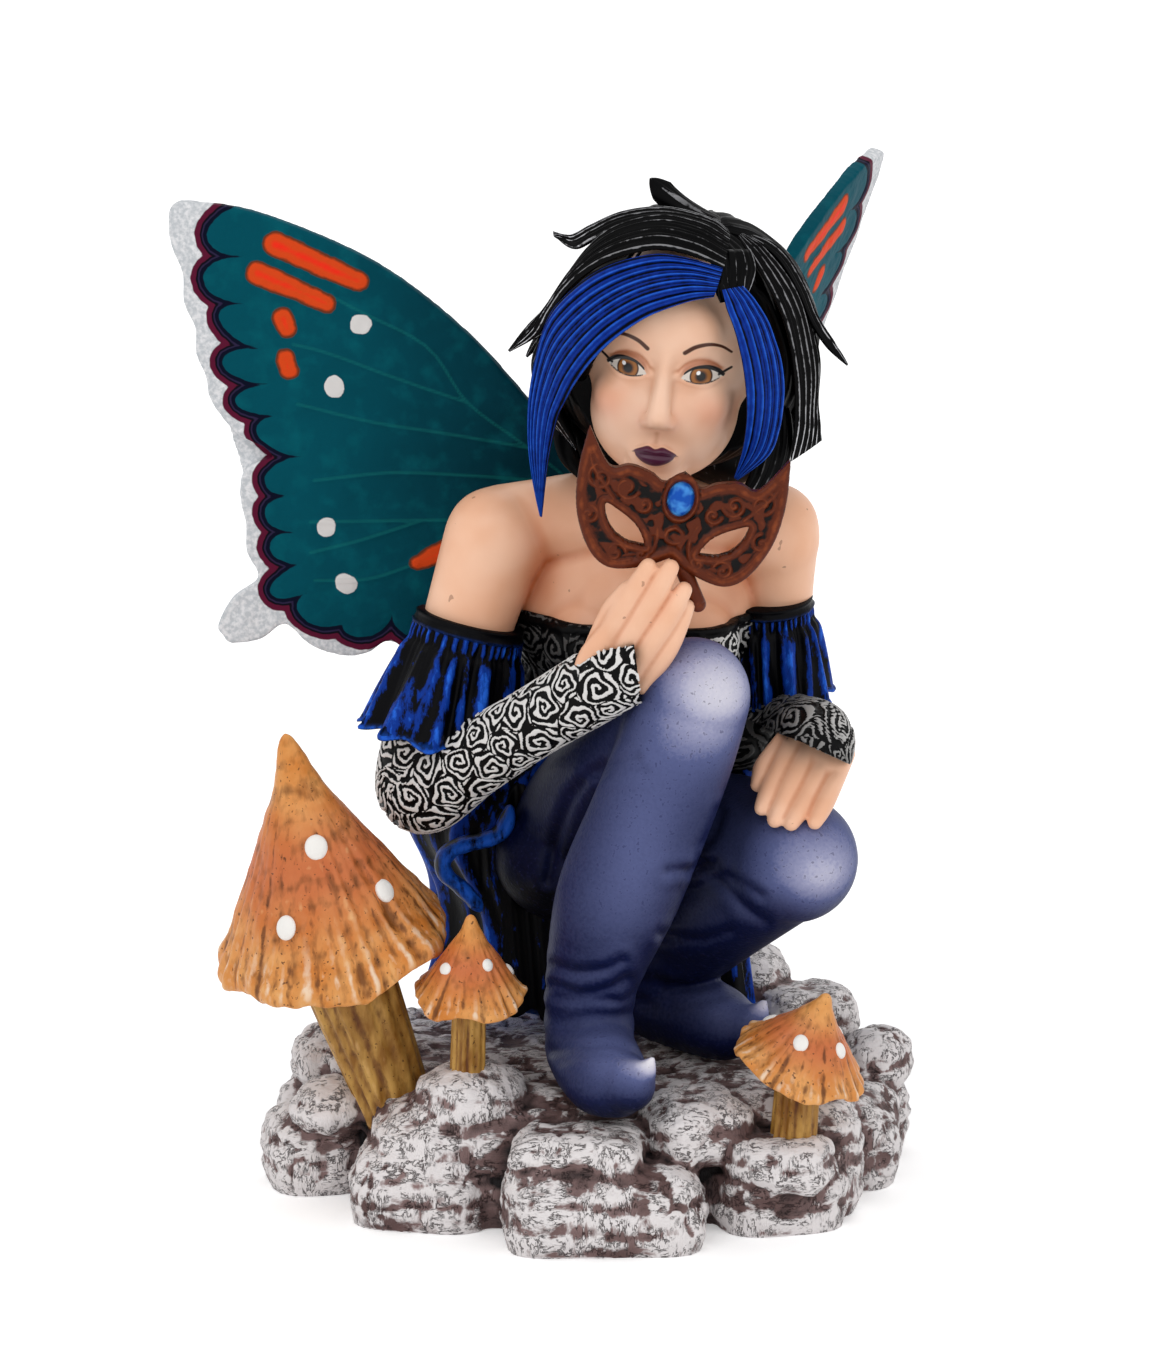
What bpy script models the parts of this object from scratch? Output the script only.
"""Resin fairy figurine that crouches on rocks behind a carnival mask.

One casting holds the fairy and her rocks. Two wings, the mask and three
toadstools are cast apart and glued into sockets in it. Units are metres,
+Z is up, the fairy faces -Y, and the origin is the middle of the flat base.
"""

import math

import bmesh
import bpy
from mathutils import Matrix, Vector

# Casting and fits
voxel = 0.00062
casting_triangles = 8600
glue_gap = 0.0003

# Rocks, from the flat underside up
ledge_height = 0.0155
base_width = 0.082
base_depth = 0.072
below_cut = 0.003
stone_round = 0.40

# Fairy, whose heights are counted from the ledge under her feet
ankle_height = 0.0125
knee_height = 0.0515
low_knee_height = 0.0292
hip_height = 0.0235
chest_height = 0.0565
shoulder_height = 0.0680
chin_height = 0.0850
skull_height = 0.0930
ankle_radius = 0.0053
calf_radius = 0.0077
knee_radius = 0.0075
thigh_radius = 0.0086
hip_radius = 0.0102
chest_width = 0.0300
chest_depth = 0.0180
neck_radius = 0.0046
shoulder_radius = 0.0063
upper_arm_radius = 0.0057
elbow_radius = 0.0050
wrist_radius = 0.0041
finger_radius = 0.0013
skull_width = 0.0246
skull_depth = 0.0284
skull_size = 0.0268
hair_width = 0.0340
hair_depth = 0.0326
hair_size = 0.0330
strand_radius = 0.0017
face_opening = 0.0128
face_depth = -0.0080
sleeve_top_radius = 0.0063
sleeve_hem_radius = 0.0096
skirt_waist_radius = 0.0125
skirt_hem_radius = 0.0225

# Wings, in their own plane: outwards from the root and up from its middle
wing_thickness = 0.0018
wing_span = 0.0562
wing_rise = 0.0372
wing_root_height = 0.0840
tenon_length = 0.0030
tenon_half_height = 0.0058

# Mask, upright in its own plane
mask_thickness = 0.0014
mask_bend = 9.0
mask_tilt = math.radians(-10)
mask_bottom = 0.0050
stick_radius = 0.0009
stick_length = 0.0085

# Toadstools: rim radius, cap height and stem radius of each
large_cap_radius = 0.0145
large_cap_height = 0.0285
large_stem_radius = 0.0044
small_cap_radius = 0.0069
small_cap_height = 0.0107
small_stem_radius = 0.0021
front_cap_radius = 0.0084
front_cap_height = 0.0100
front_stem_radius = 0.0028
peg_depth = 0.0040

resin = {
    "figure_and_rocks": ((0.16, 0.15, 0.24), 0.55),
    "right_wing": ((0.02, 0.22, 0.26), 0.40),
    "left_wing": ((0.02, 0.22, 0.26), 0.40),
    "mask": ((0.15, 0.04, 0.02), 0.40),
    "large_toadstool": ((0.50, 0.22, 0.07), 0.50),
    "small_toadstool": ((0.50, 0.22, 0.07), 0.50),
    "front_toadstool": ((0.50, 0.22, 0.07), 0.50),
}


def clear_scene():
    for old in list(bpy.data.objects):
        bpy.data.objects.remove(old)


def make_collection(name):
    made = bpy.data.collections.new(name)
    bpy.context.scene.collection.children.link(made)
    return made


clear_scene()
parts = make_collection("fairy_figurine")
cutters = make_collection("cutters")


def mesh_object(name, bm, collection=parts):
    mesh = bpy.data.meshes.new(name)
    bm.to_mesh(mesh)
    bm.free()
    made = bpy.data.objects.new(name, mesh)
    collection.objects.link(made)
    return made


def solid_copy(source, name, collection=parts):
    """Turns an object with its modifiers into a plain closed mesh and removes the source."""
    bpy.context.view_layer.update()
    graph = bpy.context.evaluated_depsgraph_get()
    mesh = bpy.data.meshes.new_from_object(source.evaluated_get(graph))
    place = source.matrix_world.copy()
    bpy.data.objects.remove(source)
    bm = bmesh.new()
    bm.from_mesh(mesh)
    bpy.data.meshes.remove(mesh)
    bmesh.ops.remove_doubles(bm, verts=bm.verts, dist=0.00001)
    bm.transform(place)
    return mesh_object(name, bm, collection)


def ball(centre, radii, turn=(0, 0, 0), fineness=24):
    bm = bmesh.new()
    bmesh.ops.create_uvsphere(bm, u_segments=fineness, v_segments=fineness // 2, radius=1)
    place = Matrix.Translation(centre)
    for axis, angle in zip("ZYX", (turn[2], turn[1], turn[0])):
        place = place @ Matrix.Rotation(math.radians(angle), 4, axis)
    bm.transform(place @ Matrix.Diagonal((*radii, 1)))
    return mesh_object("ball", bm)


def limb(points, radii, round_ends=True):
    """A tapered round limb along a smooth line, with ball ends."""
    curve = bpy.data.curves.new("limb", "CURVE")
    curve.dimensions = "3D"
    curve.bevel_depth = 1.0
    curve.bevel_resolution = 4
    curve.use_fill_caps = True
    curve.resolution_u = 6
    spline = curve.splines.new("BEZIER")
    spline.bezier_points.add(len(points) - 1)
    for knot, place, radius in zip(spline.bezier_points, points, radii):
        knot.co = place
        knot.radius = radius
        knot.handle_left_type = "AUTO"
        knot.handle_right_type = "AUTO"
    made = bpy.data.objects.new("limb", curve)
    parts.objects.link(made)
    shapes = [solid_copy(made, "limb")]
    if round_ends:
        shapes += [ball(points[i], [radii[i]] * 3, fineness=16) for i in (0, -1)]
    return shapes


def stone(centre, size, turn):
    """A rock with rounded edges. Its size is the whole width, depth and height."""
    bm = bmesh.new()
    bmesh.ops.create_cube(bm, size=1)
    bm.transform(Matrix.Diagonal((*size, 1)))
    bmesh.ops.bevel(
        bm,
        geom=bm.edges[:] + bm.verts[:],
        offset=stone_round * min(size),
        segments=3,
        profile=0.5,
        affect="EDGES",
    )
    bm.transform(Matrix.Translation(centre) @ Matrix.Rotation(math.radians(turn), 4, "Z"))
    return mesh_object("stone", bm)


def pleated_bell(top, bottom, top_radii, hem_radii, pleats, depth, flare=1.0):
    """A gathered sleeve or skirt: round at the top, with pleats that deepen towards the hem."""
    rings = 8
    around = pleats * 6
    axis = (bottom - top).to_track_quat("Z", "X").to_matrix().to_4x4()
    length = (bottom - top).length
    bm = bmesh.new()
    bmesh.ops.create_cone(
        bm, cap_ends=True, segments=around, radius1=1, radius2=1, depth=1
    )
    upright = [e for e in bm.edges if abs(e.verts[0].co.z - e.verts[1].co.z) > 0.5]
    bmesh.ops.subdivide_edges(bm, edges=upright, cuts=rings, use_grid_fill=True)
    for vert in bm.verts:
        down = vert.co.z + 0.5
        angle = math.atan2(vert.co.y, vert.co.x)
        reach = 1 + depth * down * math.cos(pleats * angle + 0.9 * math.sin(2 * angle))
        grow = down**flare
        across = top_radii[0] + (hem_radii[0] - top_radii[0]) * grow
        through = top_radii[1] + (hem_radii[1] - top_radii[1]) * grow
        vert.co = Vector(
            (across * reach * math.cos(angle), through * reach * math.sin(angle), down * length)
        )
    bm.transform(Matrix.Translation(top) @ axis)
    return mesh_object("bell", bm)


def join(shapes, name):
    bm = bmesh.new()
    for shape in shapes:
        bm.from_mesh(shape.data)
        bpy.data.objects.remove(shape)
    return mesh_object(name, bm)


def largest_shell(bm):
    """Drops the sealed hollows that a fused mesh can hold, and keeps its outer skin."""
    unseen = set(bm.verts)
    shells = []
    while unseen:
        edge_of = [unseen.pop()]
        shell = set(edge_of)
        while edge_of:
            vert = edge_of.pop()
            for edge in vert.link_edges:
                other = edge.other_vert(vert)
                if other in unseen:
                    unseen.remove(other)
                    shell.add(other)
                    edge_of.append(other)
        shells.append(shell)
    keep = max(shells, key=len)
    bmesh.ops.delete(bm, geom=[v for v in bm.verts if v not in keep], context="VERTS")


def fuse(shapes, name, triangles):
    """Melts overlapping shapes into one skin, as clay is smoothed before a mould is taken."""
    lump = join(shapes, name + "_lump")
    melt = lump.modifiers.new("melt", "REMESH")
    melt.mode = "VOXEL"
    melt.voxel_size = voxel
    soften = lump.modifiers.new("soften", "SMOOTH")
    soften.factor = 0.5
    soften.iterations = 2
    fine = solid_copy(lump, name + "_fine")
    bm = bmesh.new()
    bm.from_mesh(fine.data)
    largest_shell(bm)
    bmesh.ops.triangulate(bm, faces=bm.faces[:])
    count = len(bm.faces)
    bm.to_mesh(fine.data)
    bm.free()
    thin = fine.modifiers.new("thin_out", "DECIMATE")
    thin.ratio = triangles / count
    return solid_copy(fine, name)


def cut_flat(obj, height):
    """Saws everything below a level and closes the flat underside."""
    bm = bmesh.new()
    bm.from_mesh(obj.data)
    bmesh.ops.bisect_plane(
        bm,
        geom=bm.verts[:] + bm.edges[:] + bm.faces[:],
        dist=0.000001,
        plane_co=(0, 0, height),
        plane_no=(0, 0, -1),
        clear_outer=True,
    )
    rim = [e for e in bm.edges if e.is_boundary]
    bmesh.ops.holes_fill(bm, edges=rim, sides=0)
    bmesh.ops.triangulate(bm, faces=[f for f in bm.faces if len(f.verts) > 4])
    bm.to_mesh(obj.data)
    bm.free()


def cut_from(body, cutter, name):
    """Takes a socket out of a casting with a live Boolean."""
    cutter.hide_render = True
    cutter.display_type = "WIRE"
    socket = body.modifiers.new(name, "BOOLEAN")
    socket.operation = "DIFFERENCE"
    socket.object = cutter


def flat_outline(knots, name):
    """A Bezier outline in the XZ plane. A knot is (x, z, sharp)."""
    curve = bpy.data.curves.new(name, "CURVE")
    curve.dimensions = "2D"
    curve.fill_mode = "BOTH"
    curve.resolution_u = 3
    add_outline(curve, knots)
    return curve


def add_outline(curve, knots):
    spline = curve.splines.new("BEZIER")
    spline.bezier_points.add(len(knots) - 1)
    for point, (across, up, sharp) in zip(spline.bezier_points, knots):
        point.co = (across, up, 0)
        kind = "VECTOR" if sharp else "AUTO"
        point.handle_left_type = kind
        point.handle_right_type = kind
    spline.use_cyclic_u = True


def plate(curve, thickness, place, name, collection=parts):
    """A flat plate of the outline's shape, stood upright and put in place."""
    curve.extrude = thickness / 2
    made = bpy.data.objects.new(name, curve)
    collection.objects.link(made)
    stand_up = Matrix.Rotation(math.radians(90), 4, "X")
    made.matrix_world = place @ stand_up
    return solid_copy(made, name, collection)


# Places on the fairy, all counted from the ledge
def above_ledge(across, back, up):
    return Vector((across, back, ledge_height + up))


right_hip = above_ledge(-0.0040, 0.0115, hip_height)
left_hip = above_ledge(0.0090, 0.0135, hip_height)
right_knee = above_ledge(0.0122, -0.0195, knee_height)
right_ankle = above_ledge(-0.0002, -0.0150, ankle_height)
right_toe = above_ledge(0.0045, -0.0275, 0.0045)
left_knee = above_ledge(0.0250, -0.0130, low_knee_height)
left_ankle = above_ledge(0.0095, 0.0030, ankle_height)
left_toe = above_ledge(0.0195, -0.0055, 0.0050)
chest = above_ledge(0.0056, 0.0050, chest_height)
right_shoulder = above_ledge(-0.0120, 0.0010, shoulder_height)
left_shoulder = above_ledge(0.0222, 0.0065, shoulder_height - 0.0008)
right_elbow = above_ledge(-0.0215, -0.0020, 0.0350)
right_wrist = above_ledge(0.0022, -0.0205, 0.0545)
left_elbow = above_ledge(0.0245, 0.0100, 0.0410)
left_wrist = above_ledge(0.0285, -0.0095, 0.0440)
skull = above_ledge(0.0102, -0.0013, skull_height + 0.0003)
chin = above_ledge(0.0092, -0.0105, chin_height)
hair = above_ledge(0.0108, 0.0008, 0.0918)


# Stones as shares of the base's width and depth and of the ledge's height:
# the middle, then the whole width, depth and height, then the turn in degrees
stones = [
    ((-0.421, -0.042, 0.23), (0.165, 0.208, 0.84), 12),
    ((-0.246, -0.222, 0.23), (0.222, 0.258, 0.87), -12),
    ((0.018, -0.333, 0.23), (0.305, 0.306, 0.81), 2),
    ((0.274, -0.229, 0.23), (0.201, 0.278, 0.90), 14),
    ((0.396, 0.003, 0.26), (0.165, 0.244, 0.94), -6),
    ((0.402, 0.181, 0.26), (0.171, 0.208, 0.97), 20),
    ((0.244, 0.326, 0.39), (0.232, 0.222, 1.23), -14),
    ((0.012, 0.389, 0.32), (0.268, 0.208, 1.10), 6),
    ((-0.232, 0.319, 0.29), (0.244, 0.222, 0.97), 24),
    ((-0.390, 0.153, 0.26), (0.183, 0.236, 0.90), -18),
    ((-0.018, -0.354, 0.68), (0.201, 0.181, 0.43), -8),
    ((0.159, -0.285, 0.80), (0.159, 0.167, 0.55), 28),
    ((0.293, -0.326, 0.57), (0.146, 0.139, 0.43), -20),
    ((0.329, 0.222, 0.97), (0.159, 0.167, 0.65), 30),
    ((0.232, 0.292, 1.19), (0.159, 0.167, 0.71), -20),
    ((-0.293, -0.139, 0.74), (0.110, 0.111, 0.39), 30),
    ((-0.341, 0.056, 0.77), (0.146, 0.194, 0.58), 20),
]
boulders = [
    ((-0.396, -0.104, 0.71), (0.065, 0.069, 0.23)),
    ((-0.183, -0.229, 0.97), (0.085, 0.089, 0.31)),
    ((-0.409, 0.097, 0.84), (0.059, 0.083, 0.29)),
    ((0.445, 0.111, 0.81), (0.056, 0.064, 0.28)),
]


def on_base(across, back, up):
    return Vector((across * base_width, back * base_depth, up * ledge_height))


def rocks():
    core_height = ledge_height + below_cut
    shapes = [
        stone(
            (0.002, 0.003, ledge_height - core_height / 2),
            (base_width * 0.756, base_depth * 0.722, core_height),
            4,
        )
    ]
    for place, size, turn in stones:
        shapes.append(stone(on_base(*place), on_base(*size), turn))
    for place, radii in boulders:
        shapes.append(ball(on_base(*place), on_base(*radii)))
    return shapes


def legs():
    shin = [
        right_ankle,
        right_ankle.lerp(right_knee, 0.14) + Vector((-0.0002, -0.0006, 0)),
        right_ankle.lerp(right_knee, 0.36) + Vector((-0.0008, -0.0026, 0)),
        right_ankle.lerp(right_knee, 0.64) + Vector((-0.0005, -0.0027, 0)),
        right_knee,
    ]
    shapes = limb(
        shin,
        [ankle_radius * 1.05, calf_radius * 0.83, calf_radius * 0.99, calf_radius, knee_radius * 0.94],
    )
    shapes += limb(
        [right_hip, right_hip.lerp(right_knee, 0.5) + Vector((-0.0005, 0, -0.0006)), right_knee],
        [thigh_radius, thigh_radius, knee_radius * 0.92],
    )
    low_calf = left_ankle.lerp(left_knee, 0.22) + Vector((-0.0002, 0.0012, -0.0014))
    left_calf = left_ankle.lerp(left_knee, 0.56) + Vector((-0.0002, 0.0012, -0.0008))
    shapes += limb(
        [left_ankle, low_calf, left_calf, left_knee + Vector((-0.0004, 0.0008, -0.0010))],
        [ankle_radius, ankle_radius * 1.08, calf_radius * 0.84, knee_radius * 0.94],
    )
    shapes += limb(
        [left_hip, left_hip.lerp(left_knee, 0.5) + Vector((0, 0, 0.0014)), left_knee],
        [hip_radius * 0.9, thigh_radius, knee_radius * 1.03],
    )
    shapes.append(ball(left_knee + Vector((0.0002, 0, 0)), [knee_radius * 1.07] * 3))
    shapes.append(ball(right_hip.lerp(left_hip, 0.5) + Vector((0, 0.002, 0)), (0.0145, 0.012, hip_radius)))
    return shapes


def boots():
    """Each boot as a shaft, a foot and a toe that curls up to a point."""
    shapes = []
    for ankle, toe, curl in (
        (right_ankle, right_toe, Vector((0.0030, -0.0018, 0.0036))),
        (left_ankle, left_toe, Vector((0.0022, -0.0010, 0.0036))),
    ):
        heel = Vector((ankle.x, ankle.y + 0.0008, toe.z + 0.0006))
        instep = heel.lerp(toe, 0.4)
        ball_of_foot = heel.lerp(toe, 0.8)
        shapes += limb([ankle, heel], [ankle_radius, ankle_radius * 1.05])
        shapes += limb(
            [heel, instep, ball_of_foot, toe],
            [ankle_radius * 1.04, ankle_radius * 1.02, ankle_radius * 0.92, ankle_radius * 0.64],
        )
        shapes += limb(
            [toe + Vector((0, 0.0004, 0.0002)), toe + curl * 0.6, toe + curl],
            [ankle_radius * 0.6, ankle_radius * 0.36, ankle_radius * 0.14],
        )
    return shapes


def torso():
    pelvis = right_hip.lerp(left_hip, 0.5) + Vector((0, 0, 0.003))
    waist = pelvis.lerp(chest, 0.42) + Vector((0, -0.0006, 0))
    blades = chest + Vector((0.0002, 0.0024, 0.0074))
    collar = chest + Vector((0, -0.0006, 0.0118))
    shapes = limb(
        [pelvis, waist, chest],
        [chest_width * 0.40, chest_width * 0.32, chest_width * 0.37],
    )
    shapes += [
        ball(chest, (chest_width / 2, chest_depth / 2, 0.0140)),
        ball(blades, (0.0132, 0.0074, 0.0090)),
        ball(chest + Vector((-0.0050, -0.0054, -0.0020)), (0.0064, 0.0056, 0.0060)),
        ball(chest + Vector((0.0062, -0.0060, -0.0020)), (0.0064, 0.0056, 0.0060)),
    ]
    shapes += limb(
        [right_shoulder + Vector((0.0012, 0.0012, 0.0008)), collar, left_shoulder + Vector((-0.0012, 0.0006, 0.0008))],
        [neck_radius, neck_radius * 1.3, neck_radius],
    )
    neck = collar.lerp(skull, 0.4) + Vector((0, -0.0012, 0))
    shapes += limb([collar, neck, collar.lerp(skull, 0.68)], [neck_radius * 1.17, neck_radius, neck_radius * 1.08])
    return shapes


def arms():
    shapes = limb(
        [right_shoulder, right_shoulder.lerp(right_elbow, 0.5), right_elbow],
        [shoulder_radius, upper_arm_radius, elbow_radius * 0.95],
    )
    shapes += limb(
        [right_elbow, right_elbow.lerp(right_wrist, 0.5), right_wrist],
        [elbow_radius, elbow_radius * 0.84, wrist_radius * 1.05],
    )
    shapes += limb(
        [left_shoulder, left_shoulder.lerp(left_elbow, 0.5), left_elbow],
        [shoulder_radius * 0.86, upper_arm_radius * 0.84, elbow_radius * 0.95],
    )
    shapes += limb([left_elbow, left_wrist], [elbow_radius * 1.02, wrist_radius * 1.15])
    return shapes


# Sleeves from the band at the top to the middle of the hem
sleeve_places = [
    (above_ledge(-0.0150, -0.0003, 0.0568), above_ledge(-0.0188, -0.0015, 0.0415), 1.0),
    (above_ledge(0.0233, 0.0063, 0.0575), above_ledge(0.0240, 0.0078, 0.0450), 0.80),
]


def sleeves():
    shapes = []
    for top, hem, size in sleeve_places:
        shapes.append(
            pleated_bell(
                top,
                hem,
                (sleeve_top_radius * size, sleeve_top_radius * size * 0.96),
                (sleeve_hem_radius * size, sleeve_hem_radius * size * 0.94),
                11,
                0.08,
                0.8,
            )
        )
    return shapes


# The ruffle along the skirt's open edge
ruffle = [
    above_ledge(-0.0099, 0.0010, 0.0323),
    above_ledge(-0.0104, 0.0010, 0.0303),
    above_ledge(-0.0114, 0.0009, 0.0287),
    above_ledge(-0.0134, 0.0009, 0.0278),
    above_ledge(-0.0157, 0.0008, 0.0273),
    above_ledge(-0.0175, 0.0008, 0.0265),
    above_ledge(-0.0185, 0.0007, 0.0251),
    above_ledge(-0.0181, 0.0006, 0.0234),
    above_ledge(-0.0163, 0.0006, 0.0218),
    above_ledge(-0.0147, 0.0005, 0.0201),
    above_ledge(-0.0137, 0.0005, 0.0186),
]


def skirt():
    waist = above_ledge(0.0028, 0.0130, 0.0400)
    hem = above_ledge(-0.0005, 0.0155, 0.0045)
    bell = pleated_bell(
        waist,
        hem,
        (skirt_waist_radius, skirt_waist_radius * 0.85),
        (skirt_hem_radius, skirt_hem_radius * 0.72),
        13,
        0.07,
        0.7,
    )
    bm = bmesh.new()
    bm.from_mesh(bell.data)
    bmesh.ops.bisect_plane(
        bm,
        geom=bm.verts[:] + bm.edges[:] + bm.faces[:],
        plane_co=(0, 0.004, 0),
        plane_no=(0, -1, 0),
        clear_outer=True,
    )
    bmesh.ops.holes_fill(bm, edges=[e for e in bm.edges if e.is_boundary], sides=0)
    bm.to_mesh(bell.data)
    bm.free()
    behind = [place + Vector((0, 0.0016, 0)) for place in ruffle]
    return [bell] + limb(ruffle, [0.0010] * len(ruffle)) + limb(behind, [0.0018] * len(behind))


# Where each finger starts, bends and ends, counted from the wrist
right_fingers = [
    ((-0.0020, 0.0001, 0.0028), (0.0001, -0.0026, 0.0082), (0.0018, -0.0056, 0.0118)),
    ((-0.0011, -0.0015, 0.0034), (0.0015, -0.0045, 0.0091), (0.0042, -0.0072, 0.0146)),
    ((0.0008, -0.0025, 0.0027), (0.0041, -0.0055, 0.0091), (0.0072, -0.0076, 0.0153)),
    ((0.0028, -0.0027, 0.0012), (0.0059, -0.0051, 0.0068), (0.0090, -0.0065, 0.0124)),
    ((0.0041, -0.0021, -0.0004), (0.0069, -0.0041, 0.0043), (0.0094, -0.0053, 0.0100)),
]
left_fingers = [
    ((-0.0049, 0.0000, -0.0006), (-0.0070, -0.0030, -0.0028), (-0.0080, -0.0055, -0.0047)),
    ((-0.0037, -0.0011, -0.0009), (-0.0058, -0.0051, -0.0041), (-0.0075, -0.0085, -0.0068)),
    ((-0.0019, -0.0017, -0.0015), (-0.0041, -0.0059, -0.0048), (-0.0059, -0.0097, -0.0080)),
    ((0.0002, -0.0017, -0.0022), (-0.0020, -0.0061, -0.0058), (-0.0039, -0.0101, -0.0083)),
    ((0.0024, -0.0009, -0.0032), (0.0006, -0.0057, -0.0060), (-0.0010, -0.0097, -0.0083)),
]


def hands():
    shapes = limb(
        [right_wrist + Vector(place) for place in ((-0.0004, 0.0005, -0.0006), (0.0011, -0.0011, 0.0021), (0.0028, -0.0026, 0.0052))],
        [wrist_radius * 0.85, wrist_radius * 0.85, wrist_radius * 0.75],
    )
    shapes.append(ball(left_wrist + Vector((-0.0014, -0.0024, -0.0012)), (0.0052, 0.0044, 0.0032)))
    for wrist, fingers in ((right_wrist, right_fingers), (left_wrist, left_fingers)):
        for places in fingers:
            shapes += limb(
                [wrist + Vector(place) for place in places],
                [finger_radius * 1.15, finger_radius * 1.12, finger_radius * 0.88],
            )
    return shapes


def head():
    """The head with a plain face: brow, cheeks, jaw, nose and chin."""
    place = Matrix.Translation(skull) @ Matrix.Rotation(math.radians(-5), 4, "Z") @ Matrix.Rotation(math.radians(6), 4, "Y")
    forms = [
        ((0, 0, 0), (skull_width / 2, skull_depth / 2, skull_size / 2)),
        ((0, -0.0049, -0.0086), (skull_width * 0.385, skull_depth * 0.34, 0.0098)),
        ((0, -0.0108, -0.0156), (0.0040, 0.0036, 0.0032)),
        ((0.0052, -0.0096, -0.0070), (0.0042, 0.0041, 0.0052)),
        ((-0.0052, -0.0096, -0.0070), (0.0042, 0.0041, 0.0052)),
        ((0, -0.0156, -0.0072), (0.0015, 0.0016, 0.0028)),
    ]
    shapes = []
    for centre, radii in forms:
        form = ball(centre, radii, fineness=28)
        form.data.transform(place)
        shapes.append(form)
    return shapes


def on_hair(turn, rise, lift=1.0):
    """A point on the hair: turn is degrees from the face towards her left, rise is degrees up."""
    a = math.radians(turn)
    b = math.radians(rise)
    reach = Vector((hair_width / 2, hair_depth / 2, hair_size / 2)) * lift
    return hair + Vector(
        (
            reach.x * math.sin(a) * math.cos(b),
            -reach.y * math.cos(a) * math.cos(b),
            reach.z * math.sin(b),
        )
    )


# Locks of hair as (turn, rise, lift) at the root, middle and tip, and the thickest radius
hair_locks = [
    ((-60, 50, 0.96), (-86, 26, 0.98), (-90, 12, 1.08), 0.0020),
    ((-40, 30, 0.96), (-82, -12, 0.98), (-86, -44, 1.10), 0.0022),
    ((60, 62, 0.96), (84, 40, 0.98), (92, 28, 1.05), 0.0020),
    ((64, 20, 0.96), (84, -14, 0.98), (84, -36, 1.09), 0.0022),
    ((150, 60, 0.96), (150, 20, 0.98), (144, -30, 1.08), 0.0026),
    ((180, 60, 0.96), (184, 20, 0.98), (178, -36, 1.06), 0.0026),
    ((210, 60, 0.96), (216, 20, 0.98), (214, -32, 1.08), 0.0026),
    ((110, 60, 0.96), (116, 24, 0.98), (114, -28, 1.09), 0.0024),
    ((250, 60, 0.96), (248, 24, 0.98), (250, -30, 1.09), 0.0024),
]
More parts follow.
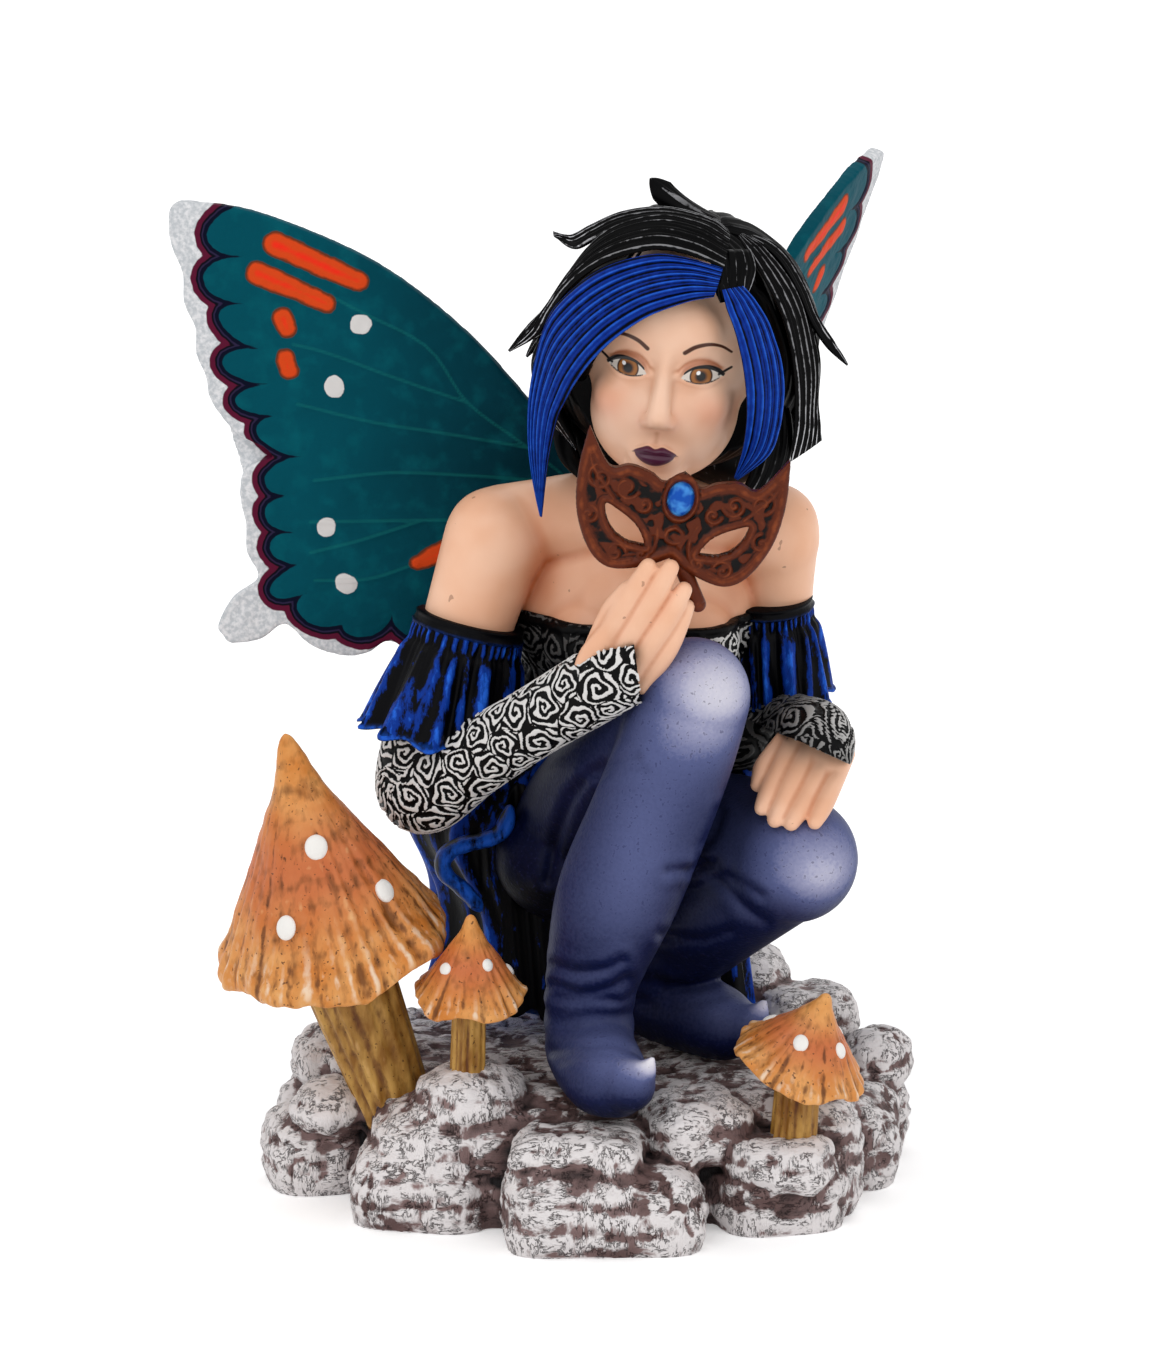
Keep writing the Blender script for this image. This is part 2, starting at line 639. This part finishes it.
# The fringe, the streak over the left temple and the locks beside them, from
# the parting to their tips, counted from the ledge
strands = [
    [(0.0157, -0.0149, 0.1034), (0.0094, -0.0156, 0.1046), (0.0020, -0.0144, 0.1024), (-0.0035, -0.0112, 0.0970), (-0.0059, -0.0085, 0.0906), (-0.0070, -0.0067, 0.0807), (-0.0062, -0.0060, 0.0714)],
    [(0.0154, -0.0155, 0.1025), (0.0097, -0.0163, 0.1030), (0.0029, -0.0153, 0.1005), (-0.0026, -0.0122, 0.0949), (-0.0050, -0.0096, 0.0892), (-0.0062, -0.0076, 0.0810), (-0.0062, -0.0061, 0.0714)],
    [(0.0151, -0.0161, 0.1017), (0.0100, -0.0170, 0.1013), (0.0038, -0.0163, 0.0986), (-0.0017, -0.0132, 0.0928), (-0.0041, -0.0107, 0.0878), (-0.0054, -0.0086, 0.0813), (-0.0061, -0.0062, 0.0714)],
    [(0.0167, -0.0107, 0.1065), (0.0120, -0.0098, 0.1083), (0.0050, -0.0092, 0.1084), (-0.0005, -0.0082, 0.1056), (-0.0040, -0.0066, 0.1015), (-0.0071, -0.0049, 0.0962), (-0.0102, -0.0034, 0.0917)],
    [(0.0165, -0.0121, 0.1057), (0.0116, -0.0114, 0.1075), (0.0050, -0.0111, 0.1075), (-0.0003, -0.0097, 0.1048), (-0.0037, -0.0078, 0.1010), (-0.0067, -0.0058, 0.0959), (-0.0101, -0.0035, 0.0917)],
    [(0.0163, -0.0135, 0.1048), (0.0112, -0.0131, 0.1067), (0.0050, -0.0129, 0.1067), (-0.0001, -0.0112, 0.1041), (-0.0035, -0.0090, 0.1005), (-0.0062, -0.0066, 0.0956), (-0.0100, -0.0036, 0.0916)],
    [(0.0167, -0.0076, 0.1079), (0.0091, -0.0053, 0.1103), (0.0010, -0.0039, 0.1073), (-0.0046, -0.0019, 0.1061)],
    [(0.0168, -0.0092, 0.1073), (0.0088, -0.0073, 0.1096), (0.0006, -0.0057, 0.1068), (-0.0046, -0.0019, 0.1058)],
    [(0.0153, -0.0039, 0.1083), (0.0127, -0.0026, 0.1094), (0.0101, -0.0020, 0.1111), (0.0074, -0.0022, 0.1129)],
    [(0.0166, -0.0157, 0.1018), (0.0179, -0.0160, 0.0989), (0.0191, -0.0155, 0.0955), (0.0201, -0.0147, 0.0909), (0.0203, -0.0140, 0.0872), (0.0199, -0.0133, 0.0828), (0.0176, -0.0129, 0.0777)],
    [(0.0177, -0.0147, 0.1018), (0.0195, -0.0145, 0.0989), (0.0210, -0.0138, 0.0952), (0.0220, -0.0129, 0.0908), (0.0221, -0.0123, 0.0869), (0.0215, -0.0120, 0.0823), (0.0178, -0.0129, 0.0776)],
    [(0.0167, -0.0113, 0.1057), (0.0170, -0.0131, 0.1042), (0.0171, -0.0145, 0.1027), (0.0166, -0.0157, 0.1012)],
    [(0.0183, -0.0105, 0.1056), (0.0188, -0.0122, 0.1040), (0.0185, -0.0136, 0.1024), (0.0177, -0.0149, 0.1012)],
    [(0.0180, -0.0085, 0.1072), (0.0208, -0.0099, 0.1040), (0.0236, -0.0095, 0.0991), (0.0252, -0.0081, 0.0933), (0.0257, -0.0068, 0.0877), (0.0256, -0.0061, 0.0823), (0.0254, -0.0057, 0.0788)],
    [(0.0182, -0.0079, 0.1073), (0.0215, -0.0085, 0.1045), (0.0246, -0.0078, 0.0996), (0.0262, -0.0064, 0.0938), (0.0266, -0.0054, 0.0882), (0.0265, -0.0048, 0.0827), (0.0265, -0.0049, 0.0794)],
    [(0.0183, -0.0073, 0.1075), (0.0222, -0.0071, 0.1051), (0.0257, -0.0060, 0.1002), (0.0272, -0.0047, 0.0942), (0.0274, -0.0039, 0.0888), (0.0274, -0.0036, 0.0831), (0.0276, -0.0041, 0.0800)],
    [(0.0196, -0.0065, 0.1067), (0.0250, -0.0062, 0.1019), (0.0281, -0.0049, 0.0952), (0.0315, -0.0043, 0.0900)],
    [(0.0200, -0.0053, 0.1067), (0.0257, -0.0042, 0.1022), (0.0288, -0.0033, 0.0956), (0.0316, -0.0043, 0.0901)],
]


def hair_shapes():
    """The head of hair, flattened behind the face, with its locks."""
    mass = ball(hair, (hair_width / 2, hair_depth / 2, hair_size / 2), (0, 6, 0), 72)
    for vert in mass.data.vertices:
        across = math.hypot(vert.co.x - skull.x, (vert.co.z - skull.z + 0.0020) * 0.92)
        if across < face_opening and vert.co.y < face_depth:
            vert.co.y = face_depth
    shapes = [mass]
    for root, middle, tip, thick in hair_locks:
        shapes += limb(
            [on_hair(*root), on_hair(*middle), on_hair(*tip)],
            [thick * 0.5, thick, 0.0006],
        )
    for places in strands:
        radii = [strand_radius * 0.8] + [strand_radius] * (len(places) - 2) + [strand_radius * 0.35]
        shapes += limb([above_ledge(*place) for place in places], radii)
    nape = hair + Vector((-0.0016, -0.0010, -hair_size * 0.42))
    shapes.append(ball(nape, (hair_width * 0.40, hair_depth * 0.30, 0.0070)))
    return shapes


def wing_place(root, sweep, lean, roll, side):
    """The wing's own frame: X outwards, Y through it, Z up. The angles are in degrees."""
    a = math.radians(sweep)
    t = math.radians(lean)
    outward = Vector((side * math.cos(a), math.sin(a), 0))
    through = Vector((side * math.sin(a), -math.cos(a), 0))
    up = Vector((0, 0, math.cos(t))) + through * math.sin(t)
    face = up.cross(outward)
    rotation = Matrix((outward, face, up)).transposed().to_4x4()
    lift = Matrix.Rotation(math.radians(-roll), 4, "Y")
    return Matrix.Translation(root) @ rotation @ lift


right_wing_place = wing_place(Vector((0.0025, 0.0123, wing_root_height)), 10, 0, 0, -1)
left_wing_place = wing_place(Vector((0.0085, 0.0123, wing_root_height)), 70, 17, 2, 1)


def wing_knots():
    """Outline of a wing: leading edge, scalloped margin, tail and the edge back to the root."""
    tenon = [(-tenon_length, -tenon_half_height, True), (-tenon_length, tenon_half_height, True)]
    leading = [
        (0.071, tenon_half_height / wing_rise, True),
        (0.178, 0.344, False),
        (0.333, 0.591, False),
        (0.534, 0.812, False),
        (0.783, 0.962, False),
        (0.943, 1.000, False),
    ]
    margin = [
        (1.000, 0.981),
        (0.975, 0.753),
        (0.947, 0.565),
        (0.925, 0.403),
        (0.890, 0.263),
        (0.801, 0.167),
        (0.685, 0.134),
        (0.836, 0.081),
        (0.836, -0.108),
        (0.810, -0.296),
        (0.904, -0.470),
        (0.872, -0.532),
        (0.747, -0.457),
        (0.614, -0.559),
        (0.507, -0.500),
        (0.383, -0.551),
        (0.267, -0.444),
    ]
    swell = 0.10
    leading = [(across * wing_span, up * wing_rise, sharp) for across, up, sharp in leading]
    margin = [(across * wing_span, up * wing_rise) for across, up in margin]
    knots = tenon + leading
    for here, there in zip(margin, margin[1:]):
        step = Vector(there) - Vector(here)
        bulge = swell * abs(step.y) / step.length
        middle = (Vector(here) + Vector(there)) / 2 + Vector((-step.y, step.x)) * bulge
        knots += [(*here, False), (*middle, False)]
    tail = (wing_span * 0.142, -wing_rise * 0.296, False)
    knots += [(*margin[-1], False), tail, (wing_span * 0.071, -tenon_half_height, True)]
    return knots


def wings():
    made = []
    for name, place in (("right_wing", right_wing_place), ("left_wing", left_wing_place)):
        made.append(plate(flat_outline(wing_knots(), name), wing_thickness, place, name))
        slot = plate(
            flat_outline(socket_knots(), name + "_slot"),
            wing_thickness + 2 * glue_gap,
            place,
            name + "_slot",
            cutters,
        )
        cut_from(casting, slot, name + "_slot")
    return made


def socket_knots():
    """A slot a little larger than the tenon, open towards the wing."""
    left = -tenon_length - glue_gap
    tall = tenon_half_height + glue_gap
    reach = wing_span * 0.356
    rise = reach + 0.004
    return [
        (left, -tall, True),
        (left, tall, True),
        (wing_span * 0.071, tall, True),
        (reach, rise + glue_gap, True),
        (reach, -rise, True),
        (wing_span * 0.071, -tall, True),
    ]


mask_place = (
    Matrix.Translation(right_wrist + Vector((0.0082, -0.0044, 0.0210)))
    @ Matrix.Rotation(-mask_tilt, 4, "Y")
)


def mask():
    """A cat-eared carnival mask with two eye holes, a jewel setting and a short stick."""
    half = [
        (0.0030, -0.0066, False),
        (0.0070, -0.0075, False),
        (0.0098, -0.0058, False),
        (0.0120, -0.0016, False),
        (0.0127, 0.0034, False),
        (0.0123, 0.0090, True),
        (0.0100, 0.0056, False),
        (0.0086, 0.0046, True),
        (0.0066, 0.0053, False),
        (0.0040, 0.0048, False),
        (0.0022, 0.0040, True),
    ]
    other_half = [(-x, z, sharp) for x, z, sharp in reversed(half)]
    knots = [(0, -mask_bottom, True)] + half + [(0, 0.0056, False)] + other_half
    curve = flat_outline(knots, "mask")
    for side in (1, -1):
        eye = [
            (side * 0.0032, -0.0042, True),
            (side * 0.0050, -0.0016, False),
            (side * 0.0088, 0.0002, True),
            (side * 0.0074, -0.0030, False),
        ]
        add_outline(curve, eye)
    made = plate(curve, mask_thickness, Matrix.Identity(4), "mask_plate")
    for vert in made.data.vertices:
        vert.co.y += mask_bend * vert.co.x**2
    front = -mask_thickness / 2
    setting = ball((0, front, 0.0024), (0.0024, 0.0011, 0.0029), fineness=16)
    stick_top = Vector((0.0006, 0, -mask_bottom + 0.0022))
    stick_end = stick_top + Vector((0.0022, 0.0004, -stick_length))
    stick = join(limb([stick_top, stick_end], [stick_radius] * 2, False), "stick")
    for extra in (setting, stick):
        cut_union(made, extra)
    made.matrix_world = mask_place
    made = solid_copy(made, "mask")
    grip_radius = stick_radius + glue_gap
    ends = [mask_place @ stick_top, mask_place @ stick_end]
    ends[1] += (ends[1] - ends[0]).normalized() * glue_gap
    grip = join(limb(ends, [grip_radius] * 2, False), "mask_grip")
    cutters.objects.link(grip)
    parts.objects.unlink(grip)
    cut_from(casting, grip, "mask_grip")
    return made


def cut_union(body, extra):
    """Joins one solid to another for good."""
    weld = body.modifiers.new("weld", "BOOLEAN")
    weld.operation = "UNION"
    weld.object = extra
    bpy.context.view_layer.update()
    graph = bpy.context.evaluated_depsgraph_get()
    body.data = bpy.data.meshes.new_from_object(body.evaluated_get(graph))
    body.modifiers.clear()
    bpy.data.objects.remove(extra)


def cap(radius, height, pleats):
    """A toadstool's pointed cap with a ribbed rim, its apex up and its rim centre at the origin."""
    bm = bmesh.new()
    profile = [
        (0.0000, 1.02),
        (0.0900, 0.97),
        (0.3000, 0.66),
        (0.5600, 0.38),
        (0.8300, 0.10),
        (1.0000, -0.04),
        (0.9400, -0.10),
        (0.5000, -0.02),
        (0.0000, 0.00),
    ]
    verts = [bm.verts.new((across * radius, 0, up * height)) for across, up in profile]
    for a, b in zip(verts, verts[1:]):
        bm.edges.new((a, b))
    bmesh.ops.spin(
        bm,
        geom=bm.verts[:] + bm.edges[:],
        cent=(0, 0, 0),
        axis=(0, 0, 1),
        angle=math.tau,
        steps=pleats * 3,
        use_merge=True,
    )
    bmesh.ops.remove_doubles(bm, verts=bm.verts, dist=0.000005)
    bmesh.ops.recalc_face_normals(bm, faces=bm.faces[:])
    for vert in bm.verts:
        out = math.hypot(vert.co.x, vert.co.y) / radius
        angle = math.atan2(vert.co.y, vert.co.x)
        ripple = 1 + 0.035 * out * math.cos(pleats * angle)
        vert.co.x *= ripple
        vert.co.y *= ripple
    return mesh_object("cap", bm)


def toadstool(name, foot, rim_centre, axis, cap_radius, cap_height, stem_radius, pleats):
    top = cap(cap_radius, cap_height, pleats)
    aim = Vector(axis).to_track_quat("Z", "Y").to_matrix().to_4x4()
    top.data.transform(Matrix.Translation(rim_centre) @ aim)
    down = (foot - rim_centre).normalized()
    peg_end = foot + down * peg_depth
    stem = join(
        limb(
            [rim_centre - down * 0.002, foot, peg_end],
            [stem_radius * 0.92, stem_radius, stem_radius],
            False,
        ),
        "stem",
    )
    cut_union(top, stem)
    top.name = name
    hole = join(
        limb(
            [foot - down * 0.006, peg_end + down * glue_gap],
            [stem_radius + glue_gap] * 2,
            False,
        ),
        name + "_hole",
    )
    cutters.objects.link(hole)
    parts.objects.unlink(hole)
    cut_from(casting, hole, name + "_hole")
    return top


def toadstools():
    large = toadstool(
        "large_toadstool",
        Vector((-0.0250, -0.0100, 0.0140)),
        Vector((-0.0322, -0.0103, 0.0342)),
        (-0.19, -0.20, 0.96),
        large_cap_radius,
        large_cap_height,
        large_stem_radius,
        18,
    )
    small = toadstool(
        "small_toadstool",
        Vector((-0.0153, -0.0178, 0.0190)),
        Vector((-0.0150, -0.0176, 0.0292)),
        (0.02, -0.22, 0.97),
        small_cap_radius,
        small_cap_height,
        small_stem_radius,
        14,
    )
    front = toadstool(
        "front_toadstool",
        Vector((0.0250, -0.0225, 0.0105)),
        Vector((0.0258, -0.0220, 0.0215)),
        (0.33, -0.22, 0.92),
        front_cap_radius,
        front_cap_height,
        front_stem_radius,
        14,
    )
    return [large, small, front]


def paint(obj):
    colour, roughness = resin[obj.name]
    material = bpy.data.materials.new(obj.name)
    material.use_nodes = True
    shader = material.node_tree.nodes["Principled BSDF"]
    shader.inputs["Base Color"].default_value = (*colour, 1)
    shader.inputs["Roughness"].default_value = roughness
    shader.inputs["Metallic"].default_value = 0
    obj.data.materials.clear()
    obj.data.materials.append(material)


shapes = rocks() + legs() + boots() + torso() + arms() + sleeves() + skirt()
shapes += hands() + head() + hair_shapes()
casting = fuse(shapes, "figure_and_rocks", casting_triangles)
cut_flat(casting, 0)
glued = wings() + [mask()] + toadstools()
for node in [casting] + glued:
    paint(node)
